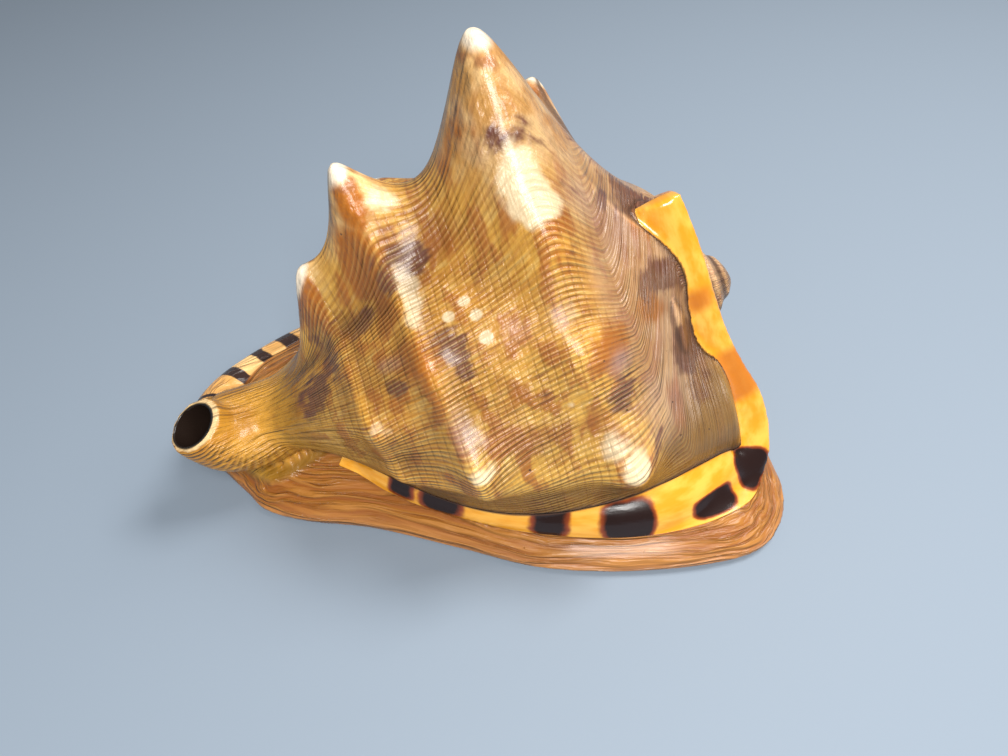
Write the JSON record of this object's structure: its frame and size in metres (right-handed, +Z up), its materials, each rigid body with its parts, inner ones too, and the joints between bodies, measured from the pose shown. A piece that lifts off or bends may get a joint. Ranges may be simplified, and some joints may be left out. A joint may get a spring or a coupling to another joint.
{
  "type": "horned helmet shell",
  "caption": "Large horned helmet shell resting on its mouth: knobbed ochre whorl, tall horn, barred amber rim, flared shield and an upturned siphonal canal.",
  "frame": {"origin": "centre of the bounding box in plan, on the plane the shell rests on", "axes": "+X from the siphonal canal to the spire, -Y towards the shield side with the barred old rim, +Z up along the tallest horn"},
  "size_m": [0.2201, 0.172, 0.1524],
  "materials": {
    "shell": "polished natural shell, honey ochre with brown blotches, amber rim with dark bars"
  },
  "bodies": {
    "root": {"helmet_shell": "shell"}
  },
  "joints": []
}
